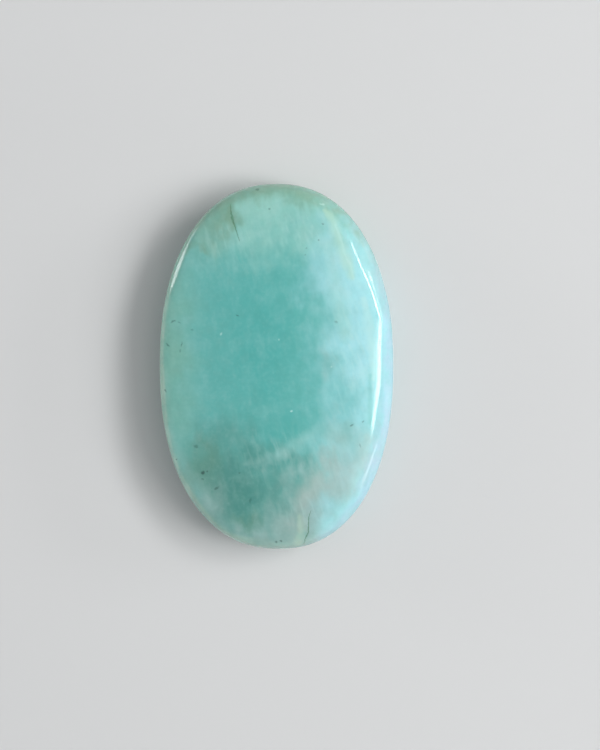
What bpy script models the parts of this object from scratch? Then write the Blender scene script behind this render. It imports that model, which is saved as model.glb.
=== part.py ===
"""A polished oval amazonite stone, lying flat on its back.

One solid: a gently crowned face on top, a tight rounded shoulder, a steep wall down to the girdle where the
oval is widest, and a rounder back that ends in a small flat spot. The wall is steeper on the left, and the
shoulder swells a little at one place on the right. Metres, +Z up, the face looks up and the stone is longest
along Y. The origin is in the middle of the flat spot.
"""

import math

import bmesh
import bpy
import numpy as np

MM = 0.001

# Over all
STONE_WIDTH = 32.2 * MM
STONE_LENGTH = 50.0 * MM
STONE_THICKNESS = 9.0 * MM
OUTLINE_EXPONENT = 2.24  # 2 is an ellipse, and more fills out the corners of the oval

# The section across the stone, with heights from the girdle
FACE_HEIGHT = 5.3 * MM
FACE_CROWN = 1.8 * MM  # how far the face falls from its middle to the rim of the oval
BACK_DEPTH = 4.0 * MM
BACK_CROWN = 2.6 * MM
REST_CUT = 0.13 * MM  # how much of the back's crown the flat spot takes off
WALL_ABOVE_RIGHT = math.radians(69)  # how steep the wall is above the girdle
WALL_ABOVE_LEFT = math.radians(80)
WALL_BELOW = math.radians(57)
SHOULDER_ROUND_RIGHT = 0.55 * MM
SHOULDER_ROUND_LEFT = 0.42 * MM
BACK_ROUND = 1.15 * MM
ROUND_CHANGE = 0.9 * MM  # the height over which the shoulder's round gives way to the back's

# Where less was ground off the right shoulder, and the line of the polish bends round it
SWELL_MIDDLE = (14.7 * MM, 6.6 * MM, 3.2 * MM)
SWELL_REACH = (1.5 * MM, 1.9 * MM, 1.3 * MM)
SWELL_HEIGHT = 0.3 * MM

# Shallow stretches where the shoulder was held against the wheel: the direction each one faces, as degrees
# from +X towards +Y and degrees up from level, and how deep it cuts into the round
POLISHED_FLATS = (
    (24.0, 48.0, 0.16 * MM),
    (-8.0, 50.0, 0.14 * MM),
    (-27.0, 48.0, 0.14 * MM),
    (62.0, 50.0, 0.08 * MM),
    (110.0, 52.0, 0.12 * MM),
    (159.0, 52.0, 0.12 * MM),
    (184.0, 40.0, 0.10 * MM),
    (212.0, 42.0, 0.10 * MM),
    (262.0, 52.0, 0.10 * MM),
    (308.0, 50.0, 0.10 * MM),
)
FLAT_BLEND = 0.12 * MM  # over this depth a flat runs out into the round

AROUND = 72
TOP_TO_BOTTOM = 44
NEAREST, FURTHEST = 0.1, 2.5  # the search for the surface, as shares of the half sizes
HALVINGS = 40
LEAST_REACH = 1e-6  # keeps the very middle from being divided by nothing

AMAZONITE_TEAL = (0.130, 0.440, 0.400, 1.0)
POLISH_ROUGHNESS = 0.1


def clear_scene():
    for obj in list(bpy.data.objects):
        bpy.data.objects.remove(obj)


def rounding(side, z):
    """How round the edges are: tightest on the left shoulder, softest towards the back."""
    shoulder = SHOULDER_ROUND_LEFT + (SHOULDER_ROUND_RIGHT - SHOULDER_ROUND_LEFT) * (1 + side) / 2
    back_share = 1 / (1 + np.exp(z / ROUND_CHANGE))
    return shoulder + (BACK_ROUND - shoulder) * back_share


def wall_above(side):
    """How steep the wall is above the girdle: steepest on the left, and much the same over the right half."""
    return WALL_ABOVE_RIGHT + (WALL_ABOVE_LEFT - WALL_ABOVE_RIGHT) * ((1 - side) / 2) ** 2


def outside(points):
    """Roughly how far each point is outside the stone, and less than nothing for one inside."""
    x, y, z = points.T
    across, along = np.abs(x) / (STONE_WIDTH / 2), np.abs(y) / (STONE_LENGTH / 2)
    reach = (across**OUTLINE_EXPONENT + along**OUTLINE_EXPONENT) ** (1 / OUTLINE_EXPONENT)
    reach = np.maximum(reach, LEAST_REACH)
    slope_x = (across / reach) ** (OUTLINE_EXPONENT - 1) / (STONE_WIDTH / 2)
    slope_y = (along / reach) ** (OUTLINE_EXPONENT - 1) / (STONE_LENGTH / 2)
    slope = np.maximum(np.hypot(slope_x, slope_y), 1 / STONE_LENGTH)  # no slope is this low off the middle
    past_rim = (reach - 1) / slope
    side = x / (STONE_WIDTH / 2) / np.maximum(reach, 1)
    steepness = wall_above(side)
    sides = np.stack(
        [
            z - FACE_HEIGHT + FACE_CROWN * reach**2,
            np.sin(steepness) * past_rim + np.cos(steepness) * z,
            math.sin(WALL_BELOW) * past_rim - math.cos(WALL_BELOW) * z,
            -z - BACK_DEPTH + BACK_CROWN * reach**2,
        ]
    )
    blend = rounding(side, z)
    furthest = sides.max(axis=0)
    body = furthest + blend * np.log(np.exp((sides - furthest) / blend).sum(axis=0))
    off = (points - SWELL_MIDDLE) / SWELL_REACH
    return body - SWELL_HEIGHT * np.exp(-(off**2).sum(axis=1) / 2)


def surface_points(directions):
    """Where the stone's surface is in each direction from the middle of its girdle."""
    rays = directions * [STONE_WIDTH / 2, STONE_LENGTH / 2, FACE_HEIGHT]
    near = np.full(len(rays), NEAREST)
    far = np.full(len(rays), FURTHEST)
    for _ in range(HALVINGS):
        middle = (near + far) / 2
        within = outside(rays * middle[:, None]) < 0
        near = np.where(within, middle, near)
        far = np.where(within, far, middle)
    return rays * near[:, None]


def facing(azimuth_deg, elevation_deg):
    azimuth, elevation = math.radians(azimuth_deg), math.radians(elevation_deg)
    level = math.cos(elevation)
    return np.array([level * math.cos(azimuth), level * math.sin(azimuth), math.sin(elevation)])


def grind_flats(points):
    """Moves the points that stand past each flat's plane back to it, with a soft edge all round."""
    for azimuth, elevation, depth in POLISHED_FLATS:
        normal = facing(azimuth, elevation)
        height = points @ normal
        past = height - (height.max() - depth)
        points = points - normal * (past + np.hypot(past, FLAT_BLEND))[:, None] / 2
    return points


def cut_rest_spot(points):
    level = points[:, 2].min() + REST_CUT
    return np.column_stack([points[:, :2], np.maximum(points[:, 2], level)])


def to_size(points):
    """Brings the points to the stone's own size, standing on the origin."""
    size = np.array([STONE_WIDTH, STONE_LENGTH, STONE_THICKNESS])
    share = (points - points.min(axis=0)) / np.ptp(points, axis=0)
    return (share - [0.5, 0.5, 0.0]) * size


def amazonite_material():
    material = bpy.data.materials.new("polished_amazonite")
    material.use_nodes = True
    shader = material.node_tree.nodes["Principled BSDF"]
    shader.inputs["Base Color"].default_value = AMAZONITE_TEAL
    shader.inputs["Roughness"].default_value = POLISH_ROUGHNESS
    shader.inputs["Metallic"].default_value = 0.0
    material.diffuse_color = AMAZONITE_TEAL
    return material


def build_stone(collection):
    shape = bmesh.new()
    bmesh.ops.create_uvsphere(shape, u_segments=AROUND, v_segments=TOP_TO_BOTTOM, radius=1.0)
    directions = np.array([vertex.co.normalized() for vertex in shape.verts])
    points = to_size(cut_rest_spot(grind_flats(surface_points(directions))))
    for vertex, point in zip(shape.verts, points):
        vertex.co = point
    mesh = bpy.data.meshes.new("amazonite_stone")
    shape.to_mesh(mesh)
    shape.free()
    mesh.shade_smooth()
    mesh.materials.append(amazonite_material())
    stone = bpy.data.objects.new("amazonite_stone", mesh)
    collection.objects.link(stone)


def main():
    clear_scene()
    collection = bpy.data.collections.new("polished_amazonite_stone")
    bpy.context.scene.collection.children.link(collection)
    build_stone(collection)


main()
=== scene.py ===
"""Polished oval amazonite stone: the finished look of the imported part, on a plain stage.

Run as a script in Blender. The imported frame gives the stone's place and size.
"""

import math

import bmesh
import bpy
import numpy as np
from mathutils import Matrix, Vector


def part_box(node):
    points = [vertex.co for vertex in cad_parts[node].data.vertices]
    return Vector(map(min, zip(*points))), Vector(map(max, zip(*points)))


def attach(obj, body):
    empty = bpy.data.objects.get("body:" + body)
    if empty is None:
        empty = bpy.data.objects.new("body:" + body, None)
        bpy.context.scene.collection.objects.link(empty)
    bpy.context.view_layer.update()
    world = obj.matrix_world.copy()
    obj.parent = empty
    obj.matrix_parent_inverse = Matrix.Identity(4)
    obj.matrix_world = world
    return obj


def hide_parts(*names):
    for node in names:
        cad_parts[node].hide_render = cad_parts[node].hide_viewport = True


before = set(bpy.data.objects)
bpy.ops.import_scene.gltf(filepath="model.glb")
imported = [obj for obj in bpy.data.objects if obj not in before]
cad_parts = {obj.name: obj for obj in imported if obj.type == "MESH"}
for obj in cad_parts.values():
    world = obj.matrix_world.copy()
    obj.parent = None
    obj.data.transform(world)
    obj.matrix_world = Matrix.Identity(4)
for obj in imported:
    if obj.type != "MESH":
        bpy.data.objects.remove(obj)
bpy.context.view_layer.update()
STONE_LOW, STONE_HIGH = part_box("amazonite_stone")

bl_info = {
    "name": "Polished amazonite stone",
    "version": (1, 0, 0),
    "blender": (4, 5, 0),
    "location": "View3D > Sidebar > Amazonite",
    "description": "Builds a polished oval amazonite stone and a plain stage for it",
    "category": "Add Mesh",
}

MM = 0.001


def linear(hex_colour):
    """An sRGB hex colour as linear red, green and blue, with an alpha of 1."""
    parts = [int(hex_colour[i : i + 2], 16) / 255 for i in (1, 3, 5)]
    return (*((c / 12.92 if c <= 0.04045 else ((c + 0.055) / 1.055) ** 2.4) for c in parts), 1.0)


def add(tree, kind, inputs=None, **settings):
    """Adds a node, sets its fields, and fills its sockets with values or with the nodes that feed them.

    A socket is given by its name, or by its place where several have the same name.
    """
    node = tree.nodes.new(kind)
    for name, value in settings.items():
        setattr(node, name, value)
    for socket, value in (inputs or {}).items():
        if isinstance(value, bpy.types.Node):
            value = next(output for output in value.outputs if output.enabled)
        if isinstance(value, bpy.types.NodeSocket):
            tree.links.new(value, node.inputs[socket])
        else:
            node.inputs[socket].default_value = value
    return node


def colour_setting(name, description, hex_colour):
    """A colour that the user can change."""
    return bpy.props.FloatVectorProperty(
        name=name, description=description, default=linear(hex_colour), size=4, min=0, max=1, subtype="COLOR"
    )


def size_setting(name, description, metres):
    """A length that the user can change, never less than a millimetre."""
    return bpy.props.FloatProperty(name=name, description=description, default=metres, min=MM, unit="LENGTH")


def strength_setting(name, description, strength):
    """A strength of light that the user can change."""
    return bpy.props.FloatProperty(name=name, description=description, default=strength, min=0)


class StoneSettings(bpy.types.PropertyGroup):
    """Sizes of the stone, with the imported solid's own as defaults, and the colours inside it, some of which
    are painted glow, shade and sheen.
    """

    length: size_setting("Length", "Along the oval", STONE_HIGH[1] - STONE_LOW[1])
    width: size_setting("Width", "Across the oval", STONE_HIGH[0] - STONE_LOW[0])
    thickness: size_setting("Thickness", "Rest spot to face", STONE_HIGH[2] - STONE_LOW[2])
    body: colour_setting("Body", "Aqua between the stronger zones", "#7CC4BE")
    heart: colour_setting("Heart", "Clear teal in the middle", "#5CB6B1")
    deep: colour_setting("Deep", "Dull darker teal towards the lower end", "#56988F")
    sage: colour_setting("Sage", "Greyer green along the left", "#86C0B1")
    pale: colour_setting("Pale", "Milky aqua along the right", "#A9E0E6")
    milk: colour_setting("Milk", "Cloudy whiter aqua under the top end", "#9DD4CA")
    # A painted glow of light on the right wall, set by the way the surface faces.
    wall: colour_setting("Wall", "Bluer aqua of the right wall", "#A0BDCF")
    lilac: colour_setting("Lilac", "Faint lilac of the right wall's lower half", "#BCCBDA")
    blush: colour_setting("Blush", "Faint warm grey in the patches at the lower right", "#C9D2CC")
    # A painted glow of light through the thin left edge, set by the way the surface faces.
    left_edge_glow: colour_setting("Rind", "Pale grey-green of the thin left edge", "#AFD3C3")
    # Painted shade on the top shoulder; elsewhere the real grey-green round the top-left cracks.
    moss_and_shade: colour_setting("Moss", "Grey-green of the top shoulder", "#84AC96")
    ash: colour_setting("Ash", "Warm grey patches at the lower right", "#A3B7B2")
    olive: colour_setting("Olive", "Olive tint round the inclusions", "#6F937B")
    # Also used for a painted sheen beside the bright line on the right shoulder.
    veil_and_sheen: colour_setting("Veil", "White of the feathered veil, the wisps and the thin rim", "#C4E8E4")
    cream: colour_setting("Cream", "Cream-green streak at the upper right", "#BFDDC4")
    crack: colour_setting("Crack", "Dark green of the healed cracks", "#4F8467")
    speck: colour_setting("Speck", "Dark grey-green of the tiny inclusions", "#35605A")


class StageSettings(bpy.types.PropertyGroup):
    """The table, the sky above it and how strongly the lamps shine."""

    table: colour_setting("Table", "Matt table top", "#D7D8D8")
    sky: colour_setting("Sky", "Light from all round", "#F7F8FA")
    sky_low: strength_setting("Sky low", "Strength of the sky where it meets the table", 0.56)
    sky_high: strength_setting("Sky high", "Strength of the sky overhead", 0.33)
    lamps: strength_setting("Lamps", "Strength of all the lamps together", 1.0)


# Shape, with heights from the girdle
OUTLINE_EXPONENT = 2.24  # 2 is an ellipse, and more fills out the corners of the oval
FACE_HEIGHT = 5.3 * MM
FACE_CROWN = 1.8 * MM  # how far the face falls from its middle to the rim of the oval
BACK_DEPTH = 4.0 * MM
BACK_CROWN = 2.6 * MM
REST_CUT = 0.13 * MM  # how much of the back's crown the flat spot takes off
WALL_ABOVE_RIGHT = math.radians(69)  # how steep the wall is above the girdle
WALL_ABOVE_LEFT = math.radians(80)
WALL_BELOW = math.radians(57)
SHOULDER_ROUND_RIGHT = 0.55 * MM
SHOULDER_ROUND_LEFT = 0.42 * MM
BACK_ROUND = 1.15 * MM
ROUND_CHANGE = 0.9 * MM  # the height over which the shoulder's round gives way to the back's

# Where less was ground off the right shoulder, and the line of the polish bends round it
SWELL_MIDDLE = (14.7 * MM, 6.6 * MM, 3.2 * MM)
SWELL_REACH = (1.5 * MM, 1.9 * MM, 1.3 * MM)
SWELL_HEIGHT = 0.3 * MM

# Shallow stretches where the shoulder was held against the wheel: the direction each one faces, as degrees
# from +X towards +Y and degrees up from level, and how deep it cuts into the round
POLISHED_FLATS = (
    (24.0, 48.0, 0.16 * MM),
    (-8.0, 50.0, 0.14 * MM),
    (-27.0, 48.0, 0.14 * MM),
    (62.0, 50.0, 0.08 * MM),
    (110.0, 52.0, 0.12 * MM),
    (159.0, 52.0, 0.12 * MM),
    (184.0, 40.0, 0.10 * MM),
    (212.0, 42.0, 0.10 * MM),
    (262.0, 52.0, 0.10 * MM),
    (308.0, 50.0, 0.10 * MM),
)
FLAT_BLEND = 0.12 * MM  # over this depth a flat runs out into the round

CUTS = 119  # across each side of the ball that the stone is shaped from
NEAREST, FURTHEST = 0.1, 2.5  # the search for the surface, as shares of the half sizes
HALVINGS = 40
LEAST_REACH = 1e-6  # keeps the very middle from being divided by nothing


def rounding(side, z):
    """How round the edges are: tightest on the left shoulder, softest towards the back."""
    shoulder = SHOULDER_ROUND_LEFT + (SHOULDER_ROUND_RIGHT - SHOULDER_ROUND_LEFT) * (1 + side) / 2
    back_share = 1 / (1 + np.exp(z / ROUND_CHANGE))
    return shoulder + (BACK_ROUND - shoulder) * back_share


def wall_above(side):
    """How steep the wall is above the girdle: steepest on the left, and much the same over the right half."""
    return WALL_ABOVE_RIGHT + (WALL_ABOVE_LEFT - WALL_ABOVE_RIGHT) * ((1 - side) / 2) ** 2


def outside(points, half_width, half_length):
    """Roughly how far each point is outside the stone, and less than nothing for one inside."""
    x, y, z = points.T
    across, along = np.abs(x) / half_width, np.abs(y) / half_length
    reach = (across**OUTLINE_EXPONENT + along**OUTLINE_EXPONENT) ** (1 / OUTLINE_EXPONENT)
    reach = np.maximum(reach, LEAST_REACH)
    slope_x = (across / reach) ** (OUTLINE_EXPONENT - 1) / half_width
    slope_y = (along / reach) ** (OUTLINE_EXPONENT - 1) / half_length
    slope = np.maximum(np.hypot(slope_x, slope_y), 0.5 / half_length)  # no slope is this low off the middle
    past_rim = (reach - 1) / slope
    side = x / half_width / np.maximum(reach, 1)
    steepness = wall_above(side)
    sides = np.stack(
        [
            z - FACE_HEIGHT + FACE_CROWN * reach**2,
            np.sin(steepness) * past_rim + np.cos(steepness) * z,
            math.sin(WALL_BELOW) * past_rim - math.cos(WALL_BELOW) * z,
            -z - BACK_DEPTH + BACK_CROWN * reach**2,
        ]
    )
    blend = rounding(side, z)
    furthest = sides.max(axis=0)
    body = furthest + blend * np.log(np.exp((sides - furthest) / blend).sum(axis=0))
    off = (points - SWELL_MIDDLE) / SWELL_REACH
    return body - SWELL_HEIGHT * np.exp(-(off**2).sum(axis=1) / 2)


def surface_points(directions, half_width, half_length):
    """Where the stone's surface is in each direction from the middle of its girdle."""
    rays = directions * [half_width, half_length, FACE_HEIGHT]
    near = np.full(len(rays), NEAREST)
    far = np.full(len(rays), FURTHEST)
    for _ in range(HALVINGS):
        middle = (near + far) / 2
        within = outside(rays * middle[:, None], half_width, half_length) < 0
        near = np.where(within, middle, near)
        far = np.where(within, far, middle)
    return rays * near[:, None]


def pointing(azimuth_deg, elevation_deg):
    """The way to an azimuth, from +X towards +Y, and an elevation, with length 1."""
    azimuth, elevation = math.radians(azimuth_deg), math.radians(elevation_deg)
    level = math.cos(elevation)
    return Vector((level * math.cos(azimuth), level * math.sin(azimuth), math.sin(elevation)))


def grind_flats(points):
    """Moves the points that stand past each flat's plane back to it, with a soft edge all round."""
    for azimuth, elevation, depth in POLISHED_FLATS:
        normal = np.array(pointing(azimuth, elevation))
        height = points @ normal
        past = height - (height.max() - depth)
        points = points - normal * (past + np.hypot(past, FLAT_BLEND))[:, None] / 2
    return points


def cut_rest_spot(points):
    """Cuts the lowest of the back off level, to leave the flat spot that the stone rests on."""
    level = points[:, 2].min() + REST_CUT
    return np.column_stack([points[:, :2], np.maximum(points[:, 2], level)])


def to_size(points, size):
    """Brings the points to the size asked for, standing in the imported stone's place."""
    middle = (np.array(STONE_LOW) + np.array(STONE_HIGH)) / 2
    low = np.array([*(middle - size / 2)[:2], STONE_LOW[2]])
    share = (points - points.min(axis=0)) / np.ptp(points, axis=0)
    return low + share * size


def even_directions():
    """A ball of directions, from a cut-up cube with its cuts spread so that the squares come out alike."""
    ball = bmesh.new()
    bmesh.ops.create_cube(ball, size=2)
    bmesh.ops.subdivide_edges(ball, edges=ball.edges[:], cuts=CUTS, use_grid_fill=True)
    directions = np.tan(np.array([vertex.co for vertex in ball.verts], float) * math.pi / 4)
    return ball, directions / np.linalg.norm(directions, axis=1)[:, None]


class AMAZONITE_OT_stone(bpy.types.Operator):
    """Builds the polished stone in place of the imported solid"""

    bl_idname = "amazonite.stone"
    bl_label = "Polished stone"

    def execute(self, context):
        settings = context.scene.amazonite
        ball, directions = even_directions()
        points = grind_flats(surface_points(directions, settings.width / 2, settings.length / 2))
        size = np.array([settings.width, settings.length, settings.thickness])
        points = to_size(cut_rest_spot(points), size)
        mesh = bpy.data.meshes.new("polished_stone")
        ball.to_mesh(mesh)
        ball.free()
        mesh.vertices.foreach_set("co", points.astype(np.float32).ravel())
        mesh.shade_smooth()
        mesh.materials.append(stone_material(settings))
        mesh.update()
        stone = bpy.data.objects.new("polished_stone", mesh)
        context.scene.collection.objects.link(stone)
        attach(stone, "root")
        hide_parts("amazonite_stone")
        return {"FINISHED"}


# Everything inside the stone is placed in millimetres from the middle of the rest spot.
# Zones of colour: the colour's name, centre, reach each way, turn in degrees, and share at the centre
ZONES = (
    ("heart", (-1, 4, 9), (17, 28, 18), 0, 1.0),
    ("deep", (-4.5, -16, 8), (14, 14, 12), 0, 1.0),
    ("sage", (-15, 2, 7), (6.5, 24, 14), 0, 0.9),
    ("milk", (-2, 22, 8), (18, 11, 14), 0, 1.0),
    ("pale", (11.8, 3, 8), (9, 30, 16), -3, 1.0),
    ("pale", (11, 14, 8), (8, 11, 14), 15, 0.8),
    ("heart", (9.8, -2.5, 8), (3.6, 6.5, 8), 0, 0.45),
    ("heart", (1.5, -7.8, 8), (6.5, 4.4, 8), 20, 0.7),
    ("heart", (6.3, -3.5, 8), (3.4, 7.0, 8), 0, 0.50),
    ("pale", (7.2, 15.5, 8), (3.8, 8.5, 8), 0, 0.38),
    ("pale", (5.2, 11.4, 8), (3.6, 3.2, 8), 0, 0.3),
    ("pale", (12, -17, 7), (9, 10, 14), 0, 0.8),
    ("ash", (4.5, -21, 7), (8, 9, 12), -25, 0.9),
    ("ash", (7.8, -15.5, 8), (6.5, 4.5, 8), 35, 0.6),
    ("ash", (6.2, -14.0, 8), (4.0, 3.0, 8), 20, 0.35),
    ("ash", (12.6, -11.5, 7), (3.0, 5.5, 8), 0, 0.45),
    ("ash", (7.1, 0.4, 8.5), (1.6, 5.0, 4), 4, 0.22),
    ("deep", (-7, -18.5, 8), (4.5, 3.5, 8), -15, 0.5),
    ("deep", (3.5, -12.5, 8), (2.6, 2.2, 6), 0, 0.5),
    ("moss_and_shade", (-9, 19.5, 7), (6, 6, 8), 30, 0.55),
    # Painted shade: the darker band along the top end.
    ("moss_and_shade", (1, 24.5, 7), (13, 3.6, 8), 0, 0.6),
    ("ash", (-9, -20, 7), (6, 6, 8), -40, 0.4),
    ("ash", (-3, -24.5, 7), (9, 5, 8), -10, 0.65),
    ("olive", (9.4, -8.2, 8), (3.4, 4.2, 6), 0, 0.25),
    ("olive", (-7.6, 20.5, 7.5), (3.2, 3.6, 5), 0, 0.25),
    ("pale", (8.5, -21, 7), (4.5, 4.5, 8), 0, 0.65),
    ("olive", (-9.6, -13.4, 8), (3.6, 6.5, 6), 10, 0.45),
    ("olive", (-3.2, -20.5, 8), (3.6, 2.8, 6), 15, 0.4),
    ("moss_and_shade", (-6.6, 20.2, 7.5), (2.2, 3.4, 4), -10, 0.7),
    ("moss_and_shade", (-11.2, 17.0, 7), (1.5, 2.4, 3), 30, 0.7),
)

# By the way the surface faces, painted light and shade: a painted glow where light would come through the
# thin edges on the right and left, and painted shade on the top shoulder. The colour's name, the way the
# surface faces there, how far it has turned that way at the first trace of the colour and at the most of it,
# and that most as a share
PAINTED_EDGE_LIGHT_AND_SHADE = (
    # Painted glow on the right and upper right walls.
    ("wall", (0.97, -0.24, 0), 0.35, 0.90, 0.75),
    ("wall", (0.82, 0.57, 0), 0.50, 0.95, 0.40),
    # Painted glow on the left, lower left and lower edge.
    ("left_edge_glow", (-0.92, 0, 0.39), 0.70, 0.95, 0.80),
    ("left_edge_glow", (-0.80, -0.46, 0.39), 0.55, 0.88, 0.80),
    ("left_edge_glow", (-0.33, -0.86, 0.39), 0.60, 0.92, 0.45),
    # Painted shade on the top shoulder, where the surface faces the top end.
    ("moss_and_shade", (0.0, 1.0, 0), 0.04, 0.62, 0.85),
)

# Soft streaks: the colour's name, share, and points with the half width there
STREAKS = (
    (
        "cream",
        0.42,
        ((7.2, 21.3, 0.5), (8.3, 19.6, 1.0), (9.2, 17.2, 1.4), (10.1, 14.7, 1.4), (10.9, 12.4, 0.7)),
    ),
    ("cream", 0.14, ((7.9, 16.5, 1.5), (8.8, 11.0, 1.9), (10.2, 5.0, 1.6))),
    ("veil_and_sheen", 0.30, ((8.6, 19.3, 0.2), (9.5, 17.0, 0.35), (10.2, 14.9, 0.3), (11.2, 12.0, 0.25))),
    # Painted sheen: a pale halo beside the bright line on the right shoulder.
    ("veil_and_sheen", 0.40, ((12.4, 9.8, 0.5), (13.2, 6.5, 1.0), (13.7, 2.5, 1.0), (13.8, -1.5, 0.6))),
    ("veil_and_sheen", 0.15, ((-3.4, -12.9, 0.7), (-1.8, -12.8, 1.1), (-0.1, -12.2, 1.4), (1.5, -11.4, 1.4))),
    ("veil_and_sheen", 0.18, ((1.3, -11.5, 1.4), (2.9, -10.4, 1.4), (4.2, -9.2, 1.2), (6.4, -8.1, 1.0))),
    ("heart", 0.32, ((-0.5, -8.5, 2.2), (3.0, -6.4, 2.6), (6.6, -7.8, 2.0))),
    ("heart", 0.18, ((5.4, 14.6, 2.0), (7.0, 14.0, 1.6))),
    ("veil_and_sheen", 0.15, ((4.4, 18.2, 1.8), (7.6, 17.5, 1.8))),
    ("veil_and_sheen", 0.16, ((-14.6, -8.5, 1.0), (-12.8, -12.8, 1.8), (-10.4, -16.4, 1.8), (-8.4, -19.2, 1.2))),
    ("blush", 0.18, ((9.4, -9.6, 2.2), (7.9, -13.6, 3.4), (5.2, -16.2, 2.6))),
    ("blush", 0.20, ((12.9, -9.0, 1.4), (12.2, -12.0, 2.4), (9.6, -16.4, 2.6))),
    ("blush", 0.16, ((6.4, -14.2, 1.2), (5.2, -16.0, 1.8), (3.8, -18.4, 1.6))),
    ("lilac", 0.24, ((15.6, -2.5, 0.8), (15.2, -8.0, 1.8), (13.2, -13.0, 1.4))),
    ("cream", 0.35, ((3.8, -20.2, 0.8), (3.9, -22.2, 1.0), (3.3, -24.0, 0.8))),
    # Painted shade: a darker line just inside the bright line on the right shoulder.
    ("body", 0.35, ((13.35, -1.0, 0.5), (13.4, -4.1, 0.6), (13.35, -7.2, 0.5))),
    ("moss_and_shade", 0.60, ((-6.0, 21.7, 0.5), (-5.9, 20.4, 1.0), (-5.4, 19.2, 0.8))),
)

# Where the white wisps gather: centre, reach, turn and strength
WISPS = (
    ((1.8, -11.2, 8.5), (9.0, 4.6, 6), 24.5, 0.45),
    ((-1.5, -9.6, 8.5), (5.0, 3.2, 6), 0, 0.22),
    ((1.8, 19.6, 8), (4.2, 5.0, 6), 0, 0.5),
    ((6.2, 18.0, 8), (3.6, 6.5, 6), 0, 0.6),
    ((-6, 17, 8), (7, 5, 6), 0, 0.6),
    ((11, 3, 8), (5.5, 19, 8), 0, 0.6),
    ((8.5, -13.5, 8), (5.0, 5.5, 6), 35, 0.5),
    ((4.5, -19, 8), (5, 4, 6), 0, 0.7),
)

# Healed cracks: the points of each, with the crack's half width there
CRACKS = (
    (
        (-5.80, 22.2, 0.08),
        (-5.68, 21.2, 0.14),
        (-5.52, 20.4, 0.24),
        (-5.22, 19.5, 0.20),
        (-4.92, 18.7, 0.12),
        (-4.45, 17.3, 0.06),
    ),
    ((5.30, -19.2, 0.05), (5.00, -20.2, 0.10), (4.95, -21.2, 0.13), (4.85, -22.2, 0.13), (4.05, -24.1, 0.11)),
)

# Tiny dark inclusions: place, half length, half width, turn, and how dark they look through the stone above
SPECKS = (
    (-2.2, 24.2, 0.40, 0.20, 0, 0.45),
    (-0.4, 21.6, 0.28, 0.16, 20, 0.45),
    (6.9, 19.6, 0.24, 0.16, 0, 0.4),
    (6.4, 17.4, 0.26, 0.15, 90, 0.4),
    (4.7, 16.3, 0.18, 0.15, 0, 0.35),
    (4.6, 15.4, 0.18, 0.15, 0, 0.35),
    (-4.6, 7.2, 0.34, 0.15, -10, 0.5),
    (-13.7, 6.3, 0.55, 0.15, 15, 0.5),
    (-12.8, 6.2, 0.34, 0.14, -20, 0.35),
    (-11.0, 5.2, 0.34, 0.14, 0, 0.3),
    (-14.5, 3.1, 0.46, 0.17, -40, 0.5),
    (-12.5, 3.2, 0.52, 0.17, 80, 0.45),
    (-12.7, 2.3, 0.30, 0.14, 80, 0.35),
    (-14.9, -3.2, 0.40, 0.16, -50, 0.5),
    (8.8, 6.4, 0.36, 0.20, -40, 0.35),
    (10.9, -7.5, 0.42, 0.16, 50, 0.5),
    (12.4, -7.0, 0.22, 0.14, 30, 0.35),
    (12.0, -10.2, 0.40, 0.14, 90, 0.25),
    (-10.5, -10.7, 0.50, 0.36, 0, 0.4),
    (-13.35, -12.6, 0.20, 0.16, 0, 0.6),
    (-9.6, -14.3, 0.40, 0.30, 30, 0.9),
    (-9.0, -14.1, 0.22, 0.20, 0, 0.5),
    (-9.7, -15.2, 0.28, 0.18, 0, 0.5),
    (-7.7, -16.4, 0.50, 0.24, 30, 0.5),
    (-10.2, -19.9, 0.24, 0.20, 0, 0.6),
    (-4.5, -14.2, 0.18, 0.18, 0, 0.4),
    (-3.0, -18.0, 0.60, 0.18, 80, 0.35),
    (1.1, -23.5, 0.24, 0.20, 0, 0.6),
    (0.4, -23.7, 0.30, 0.20, 0, 0.55),
)
# Tiny pale specks, given in the same way
LIGHT_SPECKS = (
    (-6.9, 4.7, 0.30, 0.18, 60, 0.5),
    (1.1, 4.0, 0.18, 0.16, 0, 0.4),
    (2.8, -5.6, 0.26, 0.20, 20, 0.6),
    (8.2, 0.4, 0.20, 0.18, 0, 0.4),
    (6.7, 22.2, 0.45, 0.22, -15, 0.45),
)

# The patterns inside the stone: the size in millimetres across, along and down, the lean of the length in
# degrees to the left at the top, how many finer layers lie on it, and how much it bends. The real albite
# feathers are finer than 0.1 mm, so each one drawn stands for a bundle of them.
PATTERNS = {
    "clouds": ((4.5, 4.5, 4.5), 0, 2, 0.0),
    "fibres": ((1.2, 2.8, 2.0), 8, 3, 0.0),
    "mottled": ((2.2, 2.2, 2.2), 0, 3, 0.0),
    "grain": ((0.53, 0.53, 0.53), 0, 2, 0.0),
    "feathers": ((0.62, 2.2, 1.7), 18, 1, 0.4),
    "rags": ((0.4, 0.4, 0.4), 0, 3, 0.0),
    "ripple": ((1.1, 1.1, 1.1), 0, 2, 0.0),
}
# How widely a pattern pushes places about, in millimetres across, along and down
CLOUD_DRIFT = (7, 8, 4)  # the zones, by the clouds
FIBRE_DRIFT = (1.5, 6, 2)  # the zones' edges, which the fibres fray
FINE_DRIFT = (1.0, 1.6, 0)  # the small streaks and wisps, by the fibres
RAG_DRIFT = (0.4, 0.4, 0)  # the outlines of the cracks and specks, by the rags
LEVEL = (1, 1, 0)  # takes the height out of a place, so that what is drawn there runs straight down

FEATHER_THIN, FEATHER_THICK = 0.42, 0.72  # the pattern's values where a bundle starts and where it is whitest
FEATHER_SHARE = 0.38
CRACK_SHARE = 0.8
SPECK_CORE = 0.7  # how far in from its edge a speck is at its full strength, as a share of its reach

PATTERN_MIDDLE = 0.5  # the patterns' values lie either side of this
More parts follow.
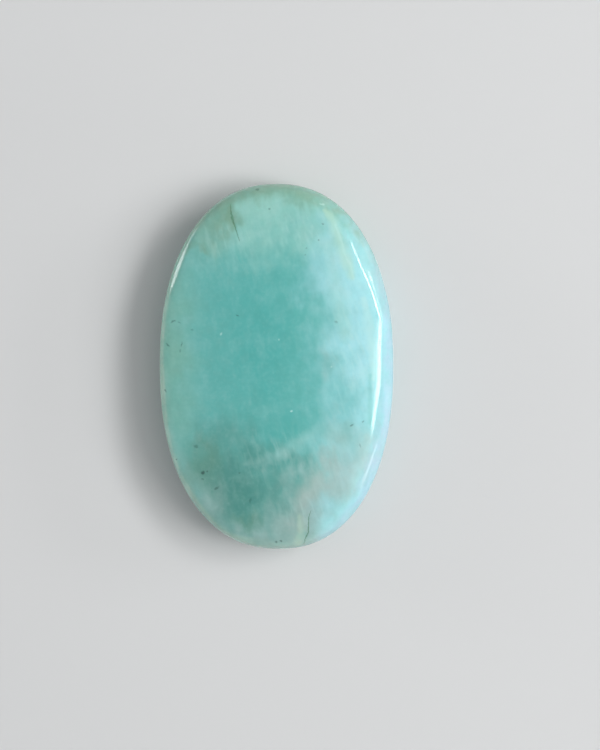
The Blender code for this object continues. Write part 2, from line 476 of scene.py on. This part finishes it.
# The mottled pattern's values where the painted edge glow and shade are weakest and where they are full, and
# how strong they are at their weakest
EDGE_MOTTLING, WEAKEST_EDGE = (0.35, 0.60), 0.45

# Mottling: the pattern, the colour, the pattern's value where that colour is fullest, and its share there
MOTTLES = (
    ("mottled", "veil_and_sheen", 0.75, 0.11),
    ("mottled", "deep", 0.25, 0.12),
    ("fibres", "veil_and_sheen", 0.75, 0.08),
    ("fibres", "deep", 0.25, 0.10),
    ("grain", "veil_and_sheen", 0.75, 0.05),
    ("grain", "deep", 0.25, 0.06),
)

# The polished surface
FELDSPAR_IOR = 1.53
LIGHT_INTO_STONE = 0.6  # share of the light that goes in and comes out elsewhere
LIGHT_REACH = (1.0, 2.0, 1.9)  # how far it goes, in mm, less for red than for green and blue
KEENEST_ROUGHNESS, DULLEST_ROUGHNESS = 0.06, 0.11
KEEN_MOTTLING = (0.35, 0.65)  # the mottled pattern's values where the polish is keenest and dullest
FLAW_ROUGHNESS = 0.3  # what a flaw adds
RIPPLE_HEIGHT, FLAW_DEPTH = 0.006, 0.02  # in mm


def near_line(tree, where, start, end):
    """Adds nodes that give 1 on the line between two points, and 0 at its half width and further off."""
    ends = Vector((*start[:2], 0)), Vector((*end[:2], 0))
    along = ends[1] - ends[0]
    from_start = add(tree, "ShaderNodeVectorMath", {0: where, 1: ends[0]}, operation="SUBTRACT")
    per_length = along / along.length_squared
    share = add(tree, "ShaderNodeVectorMath", {0: from_start, 1: per_length}, operation="DOT_PRODUCT")
    within = add(tree, "ShaderNodeClamp", {"Value": share})
    nearest = add(tree, "ShaderNodeVectorMath", {0: along, "Scale": within}, operation="SCALE")
    off = add(tree, "ShaderNodeVectorMath", {0: from_start, 1: nearest}, operation="DISTANCE")
    widths = {"Value": within, "To Min": start[2], "To Max": end[2]}
    half_width = add(tree, "ShaderNodeMapRange", widths)
    ramp = {"Value": off, "From Max": half_width, "To Min": 1, "To Max": 0}
    return add(tree, "ShaderNodeMapRange", ramp, interpolation_type="SMOOTHSTEP")


def along_line(tree, where, points):
    """Adds nodes that give 1 on the line through the points, each of which is x, y and half width."""
    share = 0.0
    for start, end in zip(points, points[1:]):
        line = near_line(tree, where, start, end)
        share = add(tree, "ShaderNodeMath", {0: line, 1: share}, operation="MAXIMUM")
    return share


def cloud(tree, where, centre, reach, turn):
    """Adds nodes that give 1 at a centre and fade evenly to 0 at the reach."""
    placing = {"Vector": where, "Location": centre, "Rotation": (0, 0, math.radians(turn)), "Scale": reach}
    placed = add(tree, "ShaderNodeMapping", placing, vector_type="TEXTURE")
    return add(tree, "ShaderNodeTexGradient", {"Vector": placed}, gradient_type="SPHERICAL").outputs["Fac"]


def scattered(tree, where, specks):
    """Adds nodes that give each speck's strength in its middle, and 0 between the specks."""
    share = 0.0
    for x, y, half_length, half_width, turn, strength in specks:
        spot = cloud(tree, where, (x, y, 0), (half_length, half_width, 1), turn)
        ramp = {"Value": spot, "From Max": SPECK_CORE, "To Max": strength}
        soft = add(tree, "ShaderNodeMapRange", ramp, interpolation_type="SMOOTHSTEP")
        share = add(tree, "ShaderNodeMath", {0: soft, 1: share}, operation="MAXIMUM")
    return share


def draw_patterns(tree, mm):
    """Adds every pattern at its own size and lean."""
    patterns = {}
    for name, (size, lean, layers, bend) in PATTERNS.items():
        placing = {"Vector": mm, "Rotation": (0, 0, math.radians(lean)), "Scale": size}
        placed = add(tree, "ShaderNodeMapping", placing, vector_type="TEXTURE")
        drawing = {"Vector": placed, "Scale": 1, "Detail": layers, "Distortion": bend}
        patterns[name] = add(tree, "ShaderNodeTexNoise", drawing)
    return patterns


def shifted(tree, where, pattern, reach):
    """Adds nodes that push a place about with a pattern, by at most half the reach each way."""
    middle = (PATTERN_MIDDLE,) * 3
    off = add(tree, "ShaderNodeVectorMath", {0: pattern.outputs["Color"], 1: middle}, operation="SUBTRACT")
    return add(tree, "ShaderNodeVectorMath", {0: off, 1: reach, 2: where}, operation="MULTIPLY_ADD")


def zones(tree, where):
    """Gives the colour and share of each soft zone."""
    for name, centre, reach, turn, most in ZONES:
        ramp = {"Value": cloud(tree, where, centre, reach, turn), "To Max": most}
        yield name, add(tree, "ShaderNodeMapRange", ramp, interpolation_type="SMOOTHSTEP")


def painted_edge_light_and_shade(tree, normal, mottled):
    """Gives painted glow at the left and right edges and painted shade on the top shoulder, by the way the
    surface faces, weaker where the stone is mottled dark.
    """
    low, high = EDGE_MOTTLING
    ramp = {"Value": mottled, "From Min": low, "From Max": high, "To Min": WEAKEST_EDGE}
    uneven = add(tree, "ShaderNodeMapRange", ramp)
    for name, way, first, full, most in PAINTED_EDGE_LIGHT_AND_SHADE:
        turned = add(tree, "ShaderNodeVectorMath", {0: normal, 1: way}, operation="DOT_PRODUCT")
        ramp = {"Value": turned, "From Min": first, "From Max": full, "To Max": most}
        edge = add(tree, "ShaderNodeMapRange", ramp, interpolation_type="SMOOTHSTEP")
        yield name, add(tree, "ShaderNodeMath", {0: edge, 1: uneven}, operation="MULTIPLY")


def mottling(tree, patterns):
    """Gives the colour's fine unevenness: lighter where a pattern is above its middle, and darker below."""
    for pattern, name, full, most in MOTTLES:
        ramp = {"Value": patterns[pattern], "From Min": PATTERN_MIDDLE, "From Max": full, "To Max": most}
        yield name, add(tree, "ShaderNodeMapRange", ramp)


def wisps(tree, where, feathers):
    """Gives the white of the bundles of albite feathers, where they gather."""
    gathered = 0.0
    for centre, reach, turn, strength in WISPS:
        more = {0: cloud(tree, where, centre, reach, turn), 1: strength, 2: gathered}
        gathered = add(tree, "ShaderNodeMath", more, operation="MULTIPLY_ADD")
    most = add(tree, "ShaderNodeMath", {0: gathered, 1: 1.0}, operation="MINIMUM")
    ramp = {"Value": feathers, "From Min": FEATHER_THIN, "From Max": FEATHER_THICK, "To Max": FEATHER_SHARE}
    strand = add(tree, "ShaderNodeMapRange", ramp, interpolation_type="SMOOTHSTEP")
    yield "veil_and_sheen", add(tree, "ShaderNodeMath", {0: strand, 1: most}, operation="MULTIPLY")


def streaks(tree, where):
    """Gives the colour and share of each soft streak."""
    level = add(tree, "ShaderNodeVectorMath", {0: where, 1: LEVEL}, operation="MULTIPLY")
    for name, most, points in STREAKS:
        line = along_line(tree, level, points)
        yield name, add(tree, "ShaderNodeMath", {0: line, 1: most}, operation="MULTIPLY")


def flaws(tree, where):
    """Adds nodes for how strongly the light specks, the healed cracks and the dark inclusions show."""
    level = add(tree, "ShaderNodeVectorMath", {0: where, 1: LEVEL}, operation="MULTIPLY")
    crack = 0.0
    for points in CRACKS:
        line = along_line(tree, level, points)
        crack = add(tree, "ShaderNodeMath", {0: line, 1: crack}, operation="MAXIMUM")
    return scattered(tree, level, LIGHT_SPECKS), crack, scattered(tree, level, SPECKS)


def polish(tree, shader, patterns, flaw):
    """Adds a polish that is less keen in places, ripples faintly, and sinks and dulls at the flaws."""
    low, high = KEEN_MOTTLING
    ramp = {"Value": patterns["mottled"], "From Min": low, "From Max": high}
    keen = add(tree, "ShaderNodeMapRange", {**ramp, "To Min": KEENEST_ROUGHNESS, "To Max": DULLEST_ROUGHNESS})
    rough = add(tree, "ShaderNodeMath", {0: flaw, 1: FLAW_ROUGHNESS, 2: keen}, operation="MULTIPLY_ADD")
    tree.links.new(rough.outputs["Value"], shader.inputs["Roughness"])
    height = add(tree, "ShaderNodeMath", {0: patterns["ripple"], 1: RIPPLE_HEIGHT}, operation="MULTIPLY")
    sunk = add(tree, "ShaderNodeMath", {0: flaw, 1: -FLAW_DEPTH, 2: height}, operation="MULTIPLY_ADD")
    relief = add(tree, "ShaderNodeBump", {"Height": sunk, "Distance": MM})
    tree.links.new(relief.outputs["Normal"], shader.inputs["Normal"])


def stone_material(colours):
    """Amazonite, a green microcline feldspar, ground on wet grit wheels and polished by hand.

    The polish gives glassy highlights with hardly any blur. The stone lets light a few millimetres in, so its
    colour lies in soft cloudy zones, crossed by finer fibres and feathers of white albite along the crystal.
    Over these lie a painted glow at the left and right edges, painted shade on the top shoulder and beside
    the bright line on the right shoulder, and a painted sheen beside that line.
    """
    material = bpy.data.materials.new("hand_polished_microcline_feldspar")
    material.use_nodes = True
    tree = material.node_tree
    shader = tree.nodes["Principled BSDF"]
    shader.inputs["IOR"].default_value = FELDSPAR_IOR
    shader.inputs["Subsurface Weight"].default_value = LIGHT_INTO_STONE
    shader.inputs["Subsurface Radius"].default_value = LIGHT_REACH
    shader.inputs["Subsurface Scale"].default_value = MM

    place = add(tree, "ShaderNodeTexCoord")
    metres = place.outputs["Object"]
    mm = add(tree, "ShaderNodeVectorMath", {0: metres, "Scale": 1 / MM}, operation="SCALE")
    patterns = draw_patterns(tree, mm)
    drifted = shifted(tree, mm, patterns["clouds"], CLOUD_DRIFT)
    frayed = shifted(tree, drifted, patterns["fibres"], FIBRE_DRIFT)
    near = shifted(tree, mm, patterns["fibres"], FINE_DRIFT)
    light, crack, dark = flaws(tree, shifted(tree, mm, patterns["rags"], RAG_DRIFT))
    healed = add(tree, "ShaderNodeMath", {0: crack, 1: CRACK_SHARE}, operation="MULTIPLY")
    layers = (
        *zones(tree, frayed),
        *painted_edge_light_and_shade(tree, place.outputs["Normal"], patterns["mottled"]),
        *mottling(tree, patterns),
        *wisps(tree, near, patterns["feathers"]),
        *streaks(tree, near),
        ("veil_and_sheen", light),
        ("crack", healed),
        ("speck", dark),
    )
    colour = colours.body
    for name, share in layers:
        blend = {"Factor": share, "A": colour, "B": getattr(colours, name)}
        colour = add(tree, "ShaderNodeMix", blend, data_type="RGBA")
    tree.links.new(colour.outputs["Result"], shader.inputs["Base Color"])
    flaw = add(tree, "ShaderNodeMath", {0: crack, 1: dark}, operation="MAXIMUM")
    polish(tree, shader, patterns, flaw)
    return material


# The stage, in metres from the middle of the rest spot
TABLE_RADIUS = 0.6
TABLE_CORNERS = 128
TABLE_DROP = 0.02 * MM  # keeps the table's top and the rest spot from lying in one plane
TABLE_ROUGHNESS = 0.7
SKY_LOW_UP_TO, SKY_HIGH_FROM = 0.02, 0.30  # heights on a dome of radius 1
LAMP_DISTANCE = 1.1
# Each lamp's azimuth and elevation in degrees, width, height and watts. The window is to the right, and its
# panes make the bright line on the right shoulder. The low glow makes the short line further down it.
LAMPS = {
    "window": (-6.5, 39.5, 0.33, 0.49, 5.0),
    "window_edge": (18.5, 39.0, 0.43, 0.22, 4.2),
    "low_window": (13.5, 16.5, 0.43, 0.13, 1.8),
    "pale_wall": (-5, 59, 0.26, 0.28, 0.42),
    "soft_sky": (10, 62, 1.3, 0.8, 1.5),
    "left_window": (158, 9, 0.34, 0.28, 1.5),
    "left_wall": (186, 10, 0.9, 0.30, 0.85),
    "low_glow": (-27, 10.5, 0.36, 0.13, 0.64),
}

# The camera looks down on the face, leaning as in the photo, and is moved a little across, so that the stone
# lies in the picture where it does in the photo.
LENS = 105  # focal length in mm
CAMERA_DISTANCE = 0.2993
LOOK_AT = (Vector(STONE_LOW) + Vector(STONE_HIGH)) / 2  # the middle of the stone
LEAN_RIGHT, LEAN_UP = math.radians(9), math.radians(4)
MOVED_RIGHT, MOVED_DOWN = 3.24 * MM, 1.065 * MM
NEAREST_SEEN, FURTHEST_SEEN = 0.01, 10


def looking_against(back, up=Vector((0, 1, 0))):
    """The turn of a camera or lamp whose back is to the given way, with its top towards up."""
    right = up.cross(back).normalized()
    return Matrix((right, back.cross(right), back)).transposed().to_quaternion()


def add_table(settings):
    """A round matt table top, lacquered so evenly that it has no pattern of its own."""
    top = (0, 0, STONE_LOW[2] - TABLE_DROP)
    bpy.ops.mesh.primitive_circle_add(
        vertices=TABLE_CORNERS, radius=TABLE_RADIUS, fill_type="NGON", location=top
    )
    table = bpy.context.object
    table.name = "table"
    material = bpy.data.materials.new("matt_lacquered_board")
    material.use_nodes = True
    shader = material.node_tree.nodes["Principled BSDF"]
    shader.inputs["Base Color"].default_value = settings.table
    shader.inputs["Roughness"].default_value = TABLE_ROUGHNESS
    table.data.materials.append(material)


def add_sky(scene, settings):
    """A sky as light as the table where they meet, and darker higher up."""
    world = bpy.data.worlds.new("studio")
    world.use_nodes = True
    tree = world.node_tree
    way = add(tree, "ShaderNodeTexCoord").outputs["Generated"]
    height = add(tree, "ShaderNodeSeparateXYZ", {"Vector": way}).outputs["Z"]
    rise = {"Value": height, "From Min": SKY_LOW_UP_TO, "From Max": SKY_HIGH_FROM}
    levels = {"To Min": settings.sky_low, "To Max": settings.sky_high}
    strength = add(tree, "ShaderNodeMapRange", {**rise, **levels}, interpolation_type="SMOOTHSTEP")
    background = tree.nodes["Background"]
    background.inputs["Color"].default_value = settings.sky
    tree.links.new(strength.outputs["Result"], background.inputs["Strength"])
    scene.world = world


def add_lamps(scene, settings):
    """The lamps, all facing the stone. None of them shows to the camera itself."""
    for name, (azimuth, elevation, wide, high, power) in LAMPS.items():
        light = bpy.data.lights.new(name, "AREA")
        light.shape = "RECTANGLE"
        light.size = wide
        light.size_y = high
        light.energy = power * settings.lamps
        lamp = bpy.data.objects.new(name, light)
        scene.collection.objects.link(lamp)
        way = pointing(azimuth, elevation)
        lamp.location = way * LAMP_DISTANCE
        lamp.rotation_mode = "QUATERNION"
        lamp.rotation_quaternion = looking_against(way, Vector((0, 0, 1)))
        lamp.visible_camera = False


def add_camera(scene):
    """A long lens over the face, so that the stone lies in the picture as it does in the photo."""
    data = bpy.data.cameras.new("camera")
    data.lens = LENS
    data.clip_start = NEAREST_SEEN
    data.clip_end = FURTHEST_SEEN
    camera = bpy.data.objects.new("camera", data)
    scene.collection.objects.link(camera)
    back = Vector((math.sin(LEAN_RIGHT), math.sin(LEAN_UP), math.cos(LEAN_RIGHT))).normalized()
    camera.rotation_mode = "QUATERNION"
    camera.rotation_quaternion = looking_against(back)
    offset = Vector((MOVED_RIGHT, -MOVED_DOWN, CAMERA_DISTANCE))
    camera.location = LOOK_AT + camera.rotation_quaternion @ offset
    scene.camera = camera


class AMAZONITE_OT_stage(bpy.types.Operator):
    """Adds the table, the sky, the lamps and the camera"""

    bl_idname = "amazonite.stage"
    bl_label = "Plain stage"

    def execute(self, context):
        scene = context.scene
        scene.view_settings.view_transform = "Standard"
        add_table(scene.amazonite_stage)
        add_sky(scene, scene.amazonite_stage)
        add_lamps(scene, scene.amazonite_stage)
        add_camera(scene)
        return {"FINISHED"}


class AMAZONITE_PT_panel(bpy.types.Panel):
    """The stone's and the stage's settings, each with its operator below"""

    bl_label = "Amazonite"
    bl_idname = "AMAZONITE_PT_panel"
    bl_space_type = "VIEW_3D"
    bl_region_type = "UI"
    bl_category = "Amazonite"

    def draw(self, context):
        scene = context.scene
        for settings, operator in (
            (scene.amazonite, "amazonite.stone"),
            (scene.amazonite_stage, "amazonite.stage"),
        ):
            for name in settings.bl_rna.properties.keys():
                if name not in ("rna_type", "name"):
                    self.layout.prop(settings, name)
            self.layout.operator(operator)


CLASSES = (StoneSettings, StageSettings, AMAZONITE_OT_stone, AMAZONITE_OT_stage, AMAZONITE_PT_panel)


def register():
    for part in CLASSES:
        bpy.utils.register_class(part)
    bpy.types.Scene.amazonite = bpy.props.PointerProperty(type=StoneSettings)
    bpy.types.Scene.amazonite_stage = bpy.props.PointerProperty(type=StageSettings)


def unregister():
    del bpy.types.Scene.amazonite_stage
    del bpy.types.Scene.amazonite
    for part in reversed(CLASSES):
        bpy.utils.unregister_class(part)


def main():
    register()
    bpy.ops.amazonite.stone()
    bpy.ops.amazonite.stage()


if __name__ == "__main__":
    main()
